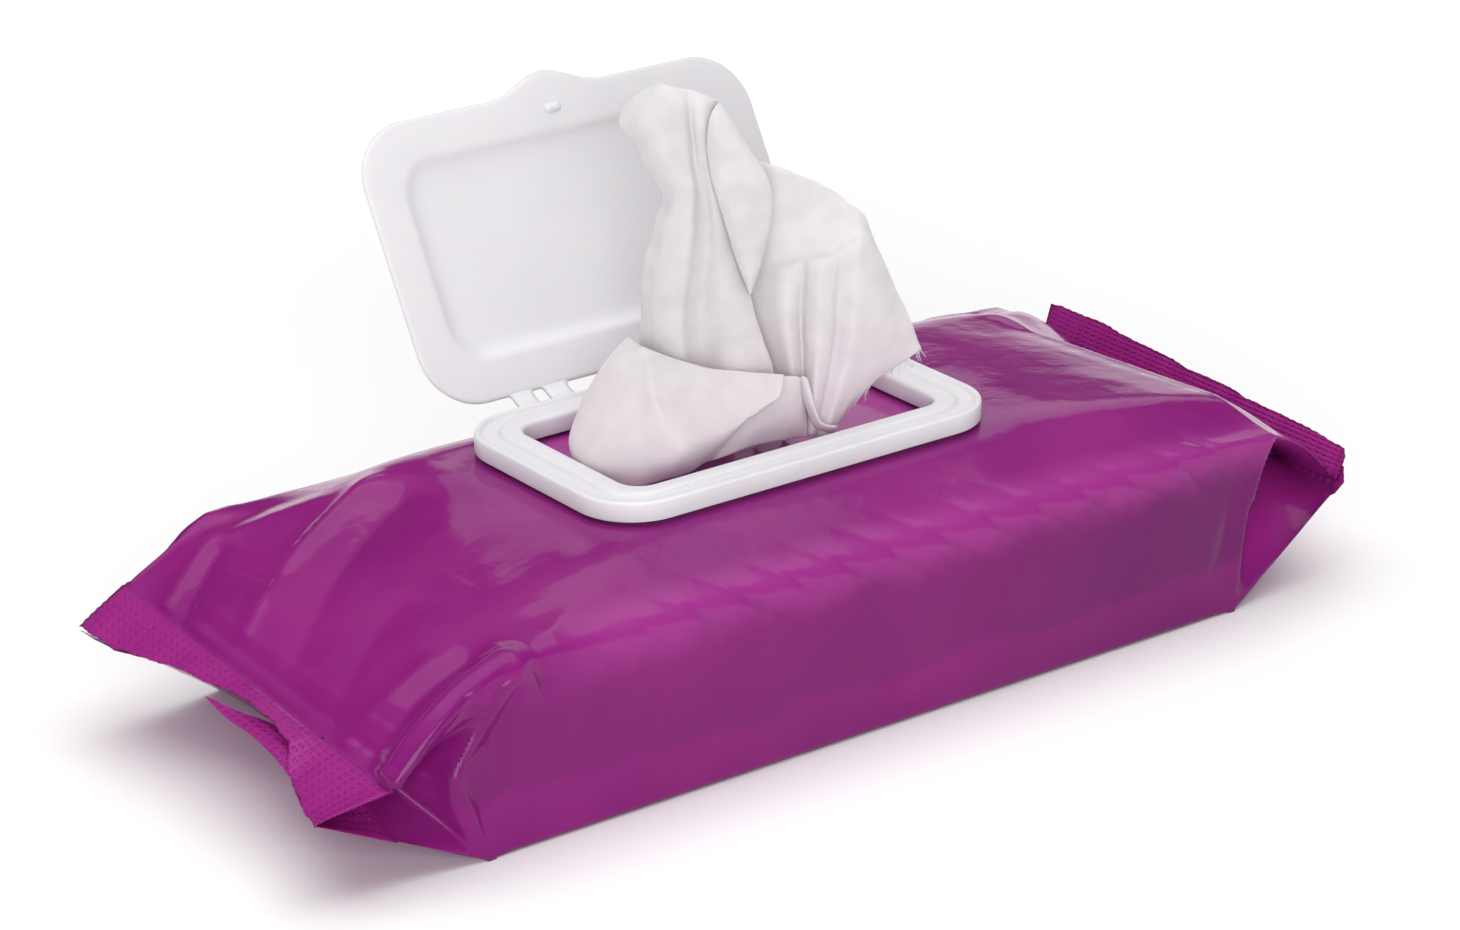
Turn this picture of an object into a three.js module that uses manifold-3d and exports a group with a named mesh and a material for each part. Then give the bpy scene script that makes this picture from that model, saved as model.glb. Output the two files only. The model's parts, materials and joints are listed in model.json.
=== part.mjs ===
// Wet wipes pack: a film flow-wrap round a stack of folded wipes, with a moulded
// flip lid over the dispensing slot and one wipe pulled half out of it.
// Millimetres, +Z up. +X runs along the pack and -Y is its near long side.
// The origin is the middle of the pack's base, on the surface that it lies on.
import * as THREE from 'three';
import { mergeVertices } from 'three/addons/utils/BufferGeometryUtils.js';
import Module from 'manifold-3d';

// ---- driving dimensions --------------------------------------------------
const GAP = 0.3;                  // clearance between pieces that touch

// flow-wrap
const PACK_HALF_WIDTH = 50;
const BASE_HALF_LENGTH = 97.3;
const EDGE_RADIUS = 6;            // rounding of the long edges
const SIDE_BULGE = 1.5;
const CROWN_HEIGHT = 49.2;        // flat top, under the frame
const FILM = 0.4;                 // wall of the wrap
const FIN_THICKNESS = 1.0;        // film layers crimped together
const STACK_CLEARANCE = 1.0;      // between the wrap's inside and the wipes
const SLOT_HALF_LENGTH = 26;
const SLOT_HALF_WIDTH = 8;

// The crimped fins: where the seal starts and ends, how far the free edge turns
// with Y, and how far its middle is drawn in towards the pack.
const LEFT_FIN = {
  rootX: -117, rootZ: 24, edgeX: -131.5, edgeZ: 20.2, skew: 0.05, roll: 0.03, bow: 9,
};
const RIGHT_FIN = {
  rootX: 122, rootZ: 26.5, edgeX: 131, edgeZ: 32.3, skew: 0, roll: 0.05, bow: 0,
};
const FIN_CORNER = 0.4;           // how far a fin's closed side stands past the film
const TEAR = { y: -9, width: 5, depth: 7 };   // notch torn in the left fin's free edge

// Cross-sections of the wrap between its fins. edge and crown are the heights of
// the long top edge and of the middle, tuck is the depth of the side gusset, and
// flat is the half width of the top's level part.
const STATIONS = [
  { x: -113, edge: 26.6, crown: 28.0, tuck: 22, flat: 25 },
  { x: -108, edge: 29.3, crown: 32.0, tuck: 17.5, flat: 25 },
  { x: -103, edge: 32.3, crown: 35.8, tuck: 12.5, flat: 26 },
  { x: -97.3, edge: 36.2, crown: 39.6, tuck: 7, flat: 27 },
  { x: -92, edge: 39.4, crown: 42.4, tuck: 2.5, flat: 28 },
  { x: -86, edge: 40.9, crown: 44.4, tuck: 0, flat: 29 },
  { x: -70, edge: 41, crown: 47.6, tuck: 0, flat: 30 },
  { x: -56, edge: 41, crown: CROWN_HEIGHT, tuck: 0, flat: 31 },
  { x: 0, edge: 41.3, crown: CROWN_HEIGHT, tuck: 0, flat: 31 },
  { x: 54, edge: 41, crown: CROWN_HEIGHT, tuck: 0, flat: 31 },
  { x: 74, edge: 40.8, crown: 48.9, tuck: 0, flat: 31 },
  { x: 86, edge: 40.5, crown: 48.0, tuck: 0, flat: 30 },
  { x: 94, edge: 40.0, crown: 46.3, tuck: 0.5, flat: 29 },
  { x: 100, edge: 38.9, crown: 43.9, tuck: 4.5, flat: 28 },
  { x: 106, edge: 36.6, crown: 40.2, tuck: 10, flat: 27 },
  { x: 112, edge: 33.2, crown: 35.9, tuck: 16, flat: 26 },
  { x: 118, edge: 29.2, crown: 30.8, tuck: 22, flat: 25 },
];
const HOLLOW_FROM = -108;         // the wrap is hollow between these two stations
const HOLLOW_TO = 112;
const STACK_FROM = -92;           // the wipes lie between these two
const STACK_TO = 100;

// moulded frame round the slot
const FRAME_X = -1.5;             // the frame sits a little off the pack's middle
const FRAME_HALF_LENGTH = 50;
const FRAME_HALF_WIDTH = 30;
const FRAME_HEIGHT = 4.2;
const FRAME_RADIUS = 13;
const BAND_AT_ENDS = 10.2;        // the ring's width at its short sides
const BAND_AT_SIDES = 8.8;        // and at its long sides
const OPENING_RADIUS = 5;
const ADHESIVE_THICKNESS = 0.3;

// flip lid
const LID_OPEN_ANGLE = 120;       // degrees from closed
const LID_DEPTH = 62;             // from the hinge side to the front edge
const LID_HALF_LENGTH = 50.3;
const LID_RADIUS = 13;
const LID_WALL = 1.4;
const LID_RECESS = 3.6;
const FLANGE_WIDTH = 10;
const HINGE_REACH = 2.1;          // from the ring, and from the lid, to the hinge line
const HINGE_DROP = 0.8;           // from the lid's inner face to the hinge line
const TAB_HALF_WIDTH = 12;
const TAB_REACH = 4.2;
const TAB_SWING = 9;              // where the curve of its outline is steepest
const TAB_SET_BACK = 0.5;         // its ends start this far inside the lid's front edge
const TAB_ROOT = 2;               // and it is joined to the lid from here
const STRAP_THICKNESS = 0.6;
const STRAP_DROP = 1.1;           // from the ring's top to the web's middle
const STRAP_BEND = [1.8, 1.3];    // from the ring to the bend, under and over the web
const STRAPS = [                  // distance from the lid's middle, and width
  [-29.2, 5.0],
  [-20.7, 5.6],
  [20.7, 5.6],
  [29.2, 5.0],
];

// latch: a nub on the lid that snaps into a dimple in the ring
const LATCH_INSET = 2.2;          // from the ring's front edge to the nub's middle
const NUB_RADIUS = 1.3;
const NUB_LENGTH = 6;
const DIMPLE_PLAY = 0.7;          // room round the nub, and at each of its ends
const DIMPLE_END_PLAY = 1;

// the pulled wipe: centre and half sizes of its column at rising heights
const WIPE_SECTIONS = [
  { z: 48.1, x: -3, y: 0, halfX: 22, halfY: 6 },
  { z: 49.8, x: -3, y: 0, halfX: 23, halfY: 6.5 },
  { z: 51.8, x: -6, y: 0, halfX: 26, halfY: 9 },
  { z: 56, x: -7, y: 0.5, halfX: 28, halfY: 11 },
  { z: 61, x: -7, y: 1, halfX: 27.5, halfY: 11 },
  { z: 68, x: -4, y: 2, halfX: 23, halfY: 10 },
  { z: 77, x: -3, y: 3, halfX: 19, halfY: 9.5 },
  { z: 88, x: -2, y: 4, halfX: 17, halfY: 8.5 },
  { z: 100, x: -3, y: 5, halfX: 16, halfY: 7.5 },
  { z: 111, x: -6, y: 5, halfX: 13, halfY: 6 },
  { z: 119, x: -9, y: 5, halfX: 10, halfY: 4.5 },
  { z: 125.5, x: -13, y: 5, halfX: 4, halfY: 2.5 },
];
const DRAPE_OUTLINE = [           // X and Z of the corner that hangs to the right
  [0, 60], [20, 58], [40, 55.5], [46.5, 58], [44, 72], [38, 88], [26, 97], [13, 103], [0, 100],
];
const DRAPE_THICKNESS = 4;
const DRAPE_Y = 5;

// ---- derived places ------------------------------------------------------
const adhesiveBottom = CROWN_HEIGHT + GAP;
const frameBottom = adhesiveBottom + ADHESIVE_THICKNESS + GAP;
const frameTop = frameBottom + FRAME_HEIGHT;
const hingeY = FRAME_HALF_WIDTH + HINGE_REACH;
const hingeZ = frameTop + GAP - HINGE_DROP;

// ---- closed surfaces from rings of points --------------------------------
const CORNER_DIVISIONS = 3;       // each rounded corner has twice as many facets
const SLOT_FACETS = 32;
const WIPE_FACETS = 20;
const NUB_FACETS = 16;
const TAB_DIVISIONS = 10;
const WELD = 1e-5;                // points closer than this are one

// Rings run anticlockwise seen from the far end, and have equal counts. A loop
// joins the last ring to the first; otherwise a fan round its middle closes each end.
function loft(rings, { loop = false } = {}) {
  const count = rings[0].length;
  const positions = rings.flat().flatMap((p) => [p.x, p.y, p.z]);
  const index = [];
  const spans = loop ? rings.length : rings.length - 1;
  for (let i = 0; i < spans; i++) {
    const here = i * count;
    const next = ((i + 1) % rings.length) * count;
    for (let j = 0; j < count; j++) {
      const k = (j + 1) % count;
      index.push(here + j, here + k, next + k, here + j, next + k, next + j);
    }
  }
  const closeEnd = (ring, first, forwards) => {
    const hub = positions.length / 3;
    const middle = ring.reduce((sum, p) => sum.add(p), new THREE.Vector3()).divideScalar(count);
    positions.push(middle.x, middle.y, middle.z);
    for (let j = 0; j < count; j++) {
      const k = (j + 1) % count;
      index.push(hub, first + (forwards ? j : k), first + (forwards ? k : j));
    }
  };
  if (!loop) {
    closeEnd(rings[0], 0, false);
    closeEnd(rings[rings.length - 1], (rings.length - 1) * count, true);
  }
  const geometry = new THREE.BufferGeometry();
  geometry.setAttribute('position', new THREE.Float32BufferAttribute(positions, 3));
  geometry.setIndex(index);
  return geometry;
}

// A rounded rectangle at height z, anticlockwise from above.
function roundedRing(halfX, halfY, radius, z) {
  const x = halfX - radius;
  const y = halfY - radius;
  const quarter = Math.PI / 2;
  return new THREE.Path()
    .absarc(x, y, radius, 0, quarter)
    .absarc(-x, y, radius, quarter, 2 * quarter)
    .absarc(-x, -y, radius, 2 * quarter, 3 * quarter)
    .absarc(x, -y, radius, 3 * quarter, 4 * quarter)
    .getPoints(CORNER_DIVISIONS)
    .map((p) => new THREE.Vector3(p.x, p.y, z));
}

function ellipseRing({ x, y, z, halfX, halfY }, steps) {
  return new THREE.EllipseCurve(x, y, halfX, halfY).getPoints(steps).slice(0, -1)
    .map((p) => new THREE.Vector3(p.x, p.y, z));
}

// ---- cutting and joining -------------------------------------------------
const wasm = await Module();
wasm.setup();

function toSolid(geometry) {
  const bare = new THREE.BufferGeometry();
  bare.setAttribute('position', geometry.getAttribute('position'));
  bare.setIndex(geometry.getIndex());
  const merged = mergeVertices(bare, WELD);
  return new wasm.Manifold(new wasm.Mesh({
    numProp: 3,
    vertProperties: new Float32Array(merged.getAttribute('position').array),
    triVerts: new Uint32Array(merged.getIndex().array),
  }));
}

function fromSolid(solid) {
  const mesh = solid.getMesh();
  const geometry = new THREE.BufferGeometry();
  geometry.setAttribute('position', new THREE.BufferAttribute(mesh.vertProperties, 3));
  geometry.setIndex(new THREE.BufferAttribute(mesh.triVerts, 1));
  return geometry;
}

// ---- materials -----------------------------------------------------------
const materials = {
  film: new THREE.MeshStandardMaterial({ color: 0x8f2480, roughness: 0.22, metalness: 0 }),
  moulding: new THREE.MeshStandardMaterial({ color: 0xf1f0f3, roughness: 0.4, metalness: 0 }),
  wipe: new THREE.MeshStandardMaterial({ color: 0xece3e8, roughness: 0.95, metalness: 0 }),
  adhesive: new THREE.MeshStandardMaterial({ color: 0xe9e2c8, roughness: 0.6, metalness: 0 }),
};

function piece(name, geometry, material) {
  geometry.computeVertexNormals();
  const mesh = new THREE.Mesh(geometry, material.clone());
  mesh.name = name;
  return mesh;
}

// ---- flow-wrap -----------------------------------------------------------
// The base film climbs in a straight line from the end of the base to the fin.
function baseHeight(x) {
  const fin = x < 0 ? LEFT_FIN : RIGHT_FIN;
  const past = Math.abs(x) - BASE_HALF_LENGTH;
  return past <= 0 ? 0 : (fin.rootZ * past) / (Math.abs(fin.rootX) - BASE_HALF_LENGTH);
}

// Mirrors a half outline, listed from the bottom's middle over +Y to the top's middle.
function mirrored(half) {
  const back = half.slice(1, -1).reverse().map(([y, z]) => [-y, z]);
  return [...half, ...back];
}

// Shares of the half width at which the outline has points between its middle and edge.
const INNER_POINTS = [0.35, 0.7];
const CORNER_CUT = 0.3;           // of the radius, at the middle of a rounded edge
// The top falls from its level part to the long edge in a soft curve: shares of the way
// out and of the height.
const SHOULDER = { out: 0.3, up: 0.85 };
const EDGE_RISE = 0.2;

function wrapOutline({ x, edge, crown, tuck, flat }) {
  const base = baseHeight(x);
  const r = Math.min(EDGE_RADIUS, (edge - base) / 4);
  const cut = CORNER_CUT * r;
  const side = PACK_HALF_WIDTH;
  const rise = crown - edge;
  const [inner, outer] = INNER_POINTS;
  return mirrored([
    [0, base],
    [inner * side, base],
    [outer * side, base],
    [side - r, base],
    [side - cut, base + cut],
    [side, base + r],
    [side + SIDE_BULGE - tuck, (base + edge) / 2],
    [side, edge - r],
    [side - cut, edge - cut],
    [side - r, edge + EDGE_RISE * rise],
    [flat + SHOULDER.out * (side - r - flat), edge + SHOULDER.up * rise],
    [flat, crown],
    [inner * side, crown],
    [0, crown],
  ]);
}

// Moves every corner of an outline inwards, so that its sides move by the distance given.
const SHARPEST_INSET = 0.35;      // keeps a corner that is nearly folded flat from running off

function inset(outline, distance) {
  return outline.map(([y, z], i) => {
    const [y0, z0] = outline[(i + outline.length - 1) % outline.length];
    const [y1, z1] = outline[(i + 1) % outline.length];
    const before = new THREE.Vector2(z0 - z, y - y0).normalize();
    const after = new THREE.Vector2(z - z1, y1 - y).normalize();
    const share = distance / Math.max(1 + before.dot(after), SHARPEST_INSET);
    return [y + share * (before.x + after.x), z + share * (before.y + after.y)];
  });
}

function wrapRing(station, depth) {
  return inset(wrapOutline(station), depth)
    .map(([y, z]) => new THREE.Vector3(station.x, y, z));
}

// Shares of the half width at which a fin has points: outwards along its underside and
// back along its upper side, as many as the wrap's own outline has.
const FIN_UNDER = [0, 0.35, 0.7, 0.94, 0.98, 1];
const FIN_OVER = [1, 0.98, 0.94, 0.8, 0.7, 0.35, 0];

// One flat ring of a fin; along runs from 0 at its root to 1 at its free edge.
function finRing(fin, along) {
  const half = PACK_HALF_WIDTH;
  const thick = FIN_THICKNESS / 2;
  const outline = mirrored([
    ...FIN_UNDER.map((share) => [share * half, -thick]),
    [half + FIN_CORNER, 0],
    ...FIN_OVER.map((share) => [share * half, thick]),
  ]);
  const x = THREE.MathUtils.lerp(fin.rootX, fin.edgeX, along);
  const z = THREE.MathUtils.lerp(fin.rootZ, fin.edgeZ, along);
  return outline.map(([y, lift]) => {
    const drawnIn = fin.bow * (1 - (y / half) ** 2);
    const turned = fin.skew * y + drawnIn;
    return new THREE.Vector3(x + along * turned, y, z + along * fin.roll * y + lift);
  });
}

const SLOT_CUT = 3;               // how far the slot's cut reaches over and under the film
const TEAR_CUT = 10;              // and the tear's over and under the fin

function filmWrap() {
  const outside = loft([
    finRing(LEFT_FIN, 1),
    finRing(LEFT_FIN, 0.5),
    finRing(LEFT_FIN, 0),
    ...STATIONS.map((s) => wrapRing(s, 0)),
    finRing(RIGHT_FIN, 0),
    finRing(RIGHT_FIN, 1),
  ]);
  const hollow = STATIONS.filter((s) => s.x >= HOLLOW_FROM && s.x <= HOLLOW_TO);
  const inside = loft(hollow.map((s) => wrapRing(s, FILM)));
  const slot = loft([CROWN_HEIGHT - SLOT_CUT, CROWN_HEIGHT + SLOT_CUT].map((z) => ellipseRing(
    { x: FRAME_X, y: 0, z, halfX: SLOT_HALF_LENGTH, halfY: SLOT_HALF_WIDTH }, SLOT_FACETS)));
  const reach = LEFT_FIN.edgeX + LEFT_FIN.bow;
  const tear = new THREE.ExtrudeGeometry(new THREE.Shape([
    new THREE.Vector2(reach + TEAR.depth, TEAR.y),
    new THREE.Vector2(reach - TEAR.depth, TEAR.y + TEAR.width),
    new THREE.Vector2(reach - TEAR.depth, TEAR.y - TEAR.width),
  ]), { depth: 2 * TEAR_CUT, bevelEnabled: false }).translate(0, 0, LEFT_FIN.edgeZ - TEAR_CUT);
  return fromSolid(toSolid(outside)
    .subtract(toSolid(inside))
    .subtract(toSolid(slot))
    .subtract(toSolid(tear)));
}

function wipeStack() {
  const stations = STATIONS.filter((s) => s.x >= STACK_FROM && s.x <= STACK_TO);
  return loft(stations.map((s) => wrapRing(s, FILM + STACK_CLEARANCE)));
}

// ---- frame, adhesive and lid ---------------------------------------------
// Across the ring's band: share of the way from its outer to its inner edge, and depth
// below its top. Outer wall, thin rim, groove, raised inner rim and inner wall.
const FRAME_PROFILE = [
  [0, FRAME_HEIGHT], [0, 0.4], [0.04, 0], [0.13, 0], [0.2, 0.9], [0.46, 0.9], [0.56, 0.1],
  [0.62, 0], [0.9, 0], [0.97, 0.3], [1, 0.9], [1, FRAME_HEIGHT],
];

function bandRing(share, z) {
  return roundedRing(
    FRAME_HALF_LENGTH - share * BAND_AT_ENDS,
    FRAME_HALF_WIDTH - share * BAND_AT_SIDES,
    FRAME_RADIUS + share * (OPENING_RADIUS - FRAME_RADIUS),
    z,
  );
}

// The latch's nub, or the dimple for it: a cylinder along X.
function latchCylinder(radius, length) {
  return new THREE.CylinderGeometry(radius, radius, length, NUB_FACETS).rotateZ(Math.PI / 2);
}

function lidFrame() {
  const rings = FRAME_PROFILE.map(([share, depth]) => bandRing(share, frameTop - depth));
  const dimple = latchCylinder(NUB_RADIUS + DIMPLE_PLAY, NUB_LENGTH + 2 * DIMPLE_END_PLAY)
    .translate(0, LATCH_INSET - FRAME_HALF_WIDTH, frameTop);
  return fromSolid(toSolid(loft(rings, { loop: true })).subtract(toSolid(dimple)));
}

const ADHESIVE_BAND = [0.25, 0.75];   // shares of the ring's band that it covers

function adhesiveRing() {
  const top = adhesiveBottom + ADHESIVE_THICKNESS;
  const [outer, inner] = ADHESIVE_BAND;
  return loft([
    bandRing(outer, adhesiveBottom),
    bandRing(outer, top),
    bandRing(inner, top),
    bandRing(inner, adhesiveBottom),
  ], { loop: true });
}

// The lid lies in its own frame: the hinge line is X, +Y runs to its front edge and
// +Z is the way its inner face looks. From the middle of the outer face, round the
// edge, to the middle of the inner face: distance in from the edge, and depth.
const LID_PROFILE = [
  [FLANGE_WIDTH + 3.2, LID_RECESS + LID_WALL], [FLANGE_WIDTH + 1, LID_RECESS + LID_WALL - 0.5],
  [FLANGE_WIDTH - 0.2, LID_WALL + 0.7], [FLANGE_WIDTH - 1.2, LID_WALL], [0.3, LID_WALL],
  [0, LID_WALL - 0.3], [0, 0.3], [0.3, 0], [FLANGE_WIDTH, 0], [FLANGE_WIDTH + 1, 0.5],
  [FLANGE_WIDTH + 2.2, LID_RECESS - 0.5], [FLANGE_WIDTH + 4, LID_RECESS],
];
const RADIUS_LOSS = 0.6;          // of the corner radius, for each mm in from the edge

function liftTab(front) {
  const start = front - TAB_SET_BACK;
  const end = front + TAB_REACH;
  const outline = new THREE.Shape()
    .moveTo(-TAB_HALF_WIDTH, front - TAB_ROOT)
    .lineTo(-TAB_HALF_WIDTH, start)
    .bezierCurveTo(-TAB_SWING, start, -TAB_SWING, end, 0, end)
    .bezierCurveTo(TAB_SWING, end, TAB_SWING, start, TAB_HALF_WIDTH, start)
    .lineTo(TAB_HALF_WIDTH, front - TAB_ROOT);
  return new THREE.ExtrudeGeometry(outline, {
    depth: LID_WALL,
    bevelEnabled: false,
    curveSegments: TAB_DIVISIONS,
  }).translate(0, 0, -HINGE_DROP - LID_WALL);
}

function lidShell() {
  const dish = loft(LID_PROFILE.map(([edge, depth]) => roundedRing(
    LID_HALF_LENGTH - edge, LID_DEPTH / 2 - edge, LID_RADIUS - RADIUS_LOSS * edge, -depth)));
  dish.translate(0, HINGE_REACH + LID_DEPTH / 2, -HINGE_DROP);
  const nub = latchCylinder(NUB_RADIUS, NUB_LENGTH)
    .translate(0, HINGE_REACH + 2 * FRAME_HALF_WIDTH - LATCH_INSET, -HINGE_DROP);
  return fromSolid(toSolid(dish)
    .add(toSolid(liftTab(HINGE_REACH + LID_DEPTH)))
    .add(toSolid(nub)));
}

// A web from the ring's back wall to the lid's hinge edge, in its open bend.
function hingeStrap(middle, width) {
  const open = THREE.MathUtils.degToRad(180 - LID_OPEN_ANGLE);
  const half = STRAP_THICKNESS / 2;
  // The middle of the lid's hinge edge, less the gap, and half the web's thickness there.
  const edge = new THREE.Vector2(HINGE_REACH - GAP, -HINGE_DROP - LID_WALL / 2)
    .rotateAround(new THREE.Vector2(), open)
    .add(new THREE.Vector2(hingeY, hingeZ));
  const across = new THREE.Vector2(0, half).rotateAround(new THREE.Vector2(), open);
  const start = new THREE.Vector2(FRAME_HALF_WIDTH + GAP, frameTop - STRAP_DROP);
  const [bendUnder, bendOver] = STRAP_BEND;
  const outline = new THREE.Shape([
    new THREE.Vector2(start.x, start.y - half),
    new THREE.Vector2(start.x + bendUnder, start.y - half),
    edge.clone().sub(across),
    edge.clone().add(across),
    new THREE.Vector2(start.x + bendOver, start.y + half),
    new THREE.Vector2(start.x, start.y + half),
  ]);
  return new THREE.ExtrudeGeometry(outline, { depth: width, bevelEnabled: false })
    .rotateX(Math.PI / 2)
    .rotateZ(Math.PI / 2)
    .translate(middle - width / 2, 0, 0);
}

// ---- pulled wipe ---------------------------------------------------------
function pulledWipe() {
  const column = loft(WIPE_SECTIONS.map((s) => ellipseRing(s, WIPE_FACETS)));
  const outline = new THREE.Shape(DRAPE_OUTLINE.map(([x, z]) => new THREE.Vector2(x, z)));
  const drape = new THREE.ExtrudeGeometry(outline, { depth: DRAPE_THICKNESS, bevelEnabled: false })
    .rotateX(Math.PI / 2)
    .translate(0, DRAPE_Y + DRAPE_THICKNESS / 2, 0);
  return fromSolid(toSolid(column).add(toSolid(drape)));
}

// ---- assembly ------------------------------------------------------------
const pack = new THREE.Group();
pack.add(piece('film_wrap', filmWrap(), materials.film));
pack.add(piece('wipe_stack', wipeStack(), materials.wipe));
pack.add(piece('pulled_wipe', pulledWipe(), materials.wipe));

const frame = new THREE.Group();
frame.position.x = FRAME_X;
frame.add(piece('adhesive_ring', adhesiveRing(), materials.adhesive));
frame.add(piece('lid_frame', lidFrame(), materials.moulding));
STRAPS.forEach(([middle, width], i) => {
  frame.add(piece(`hinge_strap_${i + 1}`, hingeStrap(middle, width), materials.moulding));
});
pack.add(frame);

const lid = new THREE.Group();
lid.position.set(FRAME_X, hingeY, hingeZ);
lid.rotation.x = THREE.MathUtils.degToRad(180 - LID_OPEN_ANGLE);
lid.add(piece('lid', lidShell(), materials.moulding));
pack.add(lid);

export default pack;
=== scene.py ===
"""A film pack of wet wipes: its moulded flip lid stands open and one wipe is pulled half out."""
import json
import math
import random

import bmesh
import bpy
from mathutils import Matrix, Vector, noise


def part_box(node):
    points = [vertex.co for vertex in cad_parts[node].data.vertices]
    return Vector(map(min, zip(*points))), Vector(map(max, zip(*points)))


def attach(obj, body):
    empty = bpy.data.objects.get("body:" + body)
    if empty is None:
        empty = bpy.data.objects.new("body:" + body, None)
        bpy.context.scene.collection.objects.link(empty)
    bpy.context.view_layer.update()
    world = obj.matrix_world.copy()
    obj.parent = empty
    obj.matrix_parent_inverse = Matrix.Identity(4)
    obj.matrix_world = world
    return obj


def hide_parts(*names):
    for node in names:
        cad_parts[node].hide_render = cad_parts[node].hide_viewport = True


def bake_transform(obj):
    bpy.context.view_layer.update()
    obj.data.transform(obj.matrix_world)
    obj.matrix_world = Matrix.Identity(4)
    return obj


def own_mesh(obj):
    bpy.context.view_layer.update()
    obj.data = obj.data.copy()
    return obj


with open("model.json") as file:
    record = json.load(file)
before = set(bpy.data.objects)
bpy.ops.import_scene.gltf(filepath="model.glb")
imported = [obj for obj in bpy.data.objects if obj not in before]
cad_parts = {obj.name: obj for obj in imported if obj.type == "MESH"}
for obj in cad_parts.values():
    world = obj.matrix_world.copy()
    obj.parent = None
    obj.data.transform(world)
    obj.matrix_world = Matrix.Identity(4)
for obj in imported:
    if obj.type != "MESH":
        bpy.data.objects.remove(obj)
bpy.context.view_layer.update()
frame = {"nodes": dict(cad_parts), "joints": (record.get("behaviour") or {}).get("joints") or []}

MM = 0.001                # metres in a millimetre; every other size here is in millimetres
HALF_WIDTH = 50.0
BASE_HALF_LENGTH = 97.3
CROWN = 49.2              # top of the film under the frame
LONG_EDGE = 41.2          # height of the two long top edges
LEVEL_HALF_WIDTH = 31.0   # the top is level this far from its middle line
SIDE_ARM = 20.5           # half a side panel, which folds in on itself at the ends
ENDS_START = 82.0         # the film's finer columns start this far from the middle
SEAL_HALF_WIDTH = 6.0     # of the long lap seal under the base
SEAL_LIFT = 0.35
FIN_HALF_THICKNESS = 0.35
CRIMP_PITCH = 1.45
CRIMP_DASH = 2.3
CRIMP_DEPTH = 0.13
TOOTH_DEPTH = 0.35        # of the saw cut along a fin's rim
SLOT_HALF_LENGTH, SLOT_HALF_WIDTH = 26.0, 8.0
SLOT_LIP = 0.8            # how far the slot's edge is turned in
WIPE_PITCH = 0.55         # of the sheets seen at the stack's sides
TAPER_START = 52.0        # the top starts to sink this far from the middle
TONGUE_WIDTH = 8.0        # of the torn sliver of film at its root
MERGE_DISTANCE = 0.0001


# ---- small sums ----------------------------------------------------------------
def clamp(value, low=0.0, high=1.0):
    return max(low, min(high, value))


def mix(a, b, share):
    return a + (b - a) * share


def ease(share):
    share = clamp(share)
    return share * share * (3 - 2 * share)


def bell(distance, width):
    return math.exp(-(distance / width) ** 2)


def soft_min(a, b, blend):
    overlap = clamp(0.5 + 0.5 * (b - a) / blend)
    return mix(b, a, overlap) - blend * overlap * (1 - overlap)


def spread(start, end, count):
    """count even steps from start, without the end."""
    return [mix(start, end, i / count) for i in range(count)]


def polyline(points, at):
    """Height of a broken line, given as rising (place, height) points."""
    for (a, low), (b, high) in zip(points, points[1:]):
        if at <= b:
            return mix(low, high, clamp((at - a) / (b - a)))
    return points[-1][1]


def curve_point(points, share):
    """A point on the smooth curve through the points, share running from 0 to 1."""
    last = len(points) - 1
    at = clamp(share) * last
    i = min(int(at), last - 1)
    t = at - i
    before = points[i - 1] if i else 2 * points[0] - points[1]
    after = points[i + 2] if i + 2 <= last else 2 * points[last] - points[last - 1]
    a, b = points[i], points[i + 1]
    return 0.5 * (2 * a + (b - before) * t + (2 * before - 5 * a + 4 * b - after) * t ** 2
                  + (3 * a - before - 3 * b + after) * t ** 3)


# ---- pieces --------------------------------------------------------------------
def finished(name, bm, material, body="pack"):
    """Makes a piece from a mesh in millimetres, and lets it ride on its body."""
    mesh = bpy.data.meshes.new(name)
    bmesh.ops.scale(bm, vec=(MM, MM, MM), verts=bm.verts)
    bm.to_mesh(mesh)
    bm.free()
    mesh.shade_smooth()
    piece = bpy.data.objects.new(name, mesh)
    bpy.context.collection.objects.link(piece)
    mesh.materials.append(material)
    if body:
        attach(piece, body)
    return piece


def placed_grid(bm, across, up, place):
    """A grid whose corners are put where place(share across, share up) says."""
    verts = bmesh.ops.create_grid(bm, x_segments=across, y_segments=up, size=1)["verts"]
    for vert in verts:
        vert.co = place((vert.co.x + 1) / 2, (vert.co.y + 1) / 2)


def swept_rings(bm, count, stations, place, closed=False):
    """A skin through rings of count corners; place(station, i) is corner i of a station's ring."""
    number = bm.verts.layers.int.new("number")    # extruded corners inherit it
    verts = bmesh.ops.create_circle(bm, segments=count, radius=1)["verts"]
    for i, vert in enumerate(verts):
        vert[number] = i
        vert.co = place(stations[0], i)
    first = ring = list({edge for vert in verts for edge in vert.link_edges})
    for station in list(stations[1:]) + ([stations[0]] if closed else []):
        made = bmesh.ops.extrude_edge_only(bm, edges=ring)["geom"]
        verts = {item for item in made if isinstance(item, bmesh.types.BMVert)}
        for vert in verts:
            vert.co = place(station, vert[number])
        edges = [item for item in made if isinstance(item, bmesh.types.BMEdge)]
        ring = [edge for edge in edges if verts.issuperset(edge.verts)]
    if closed:
        bmesh.ops.remove_doubles(bm, verts=bm.verts, dist=MERGE_DISTANCE)
    else:
        for rim in (first, ring):
            bmesh.ops.holes_fill(bm, edges=rim)


def mm_box(node):
    """A CAD node's low and high corner, in millimetres."""
    low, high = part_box(node)
    return low / MM, high / MM


# ---- materials -----------------------------------------------------------------
def rgb(code):
    """Linear colour from an sRGB hex code."""
    values = [int(code[i:i + 2], 16) / 255 for i in (0, 2, 4)]
    return tuple(v / 12.92 if v <= 0.04045 else ((v + 0.055) / 1.055) ** 2.4 for v in values) + (1,)


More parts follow.
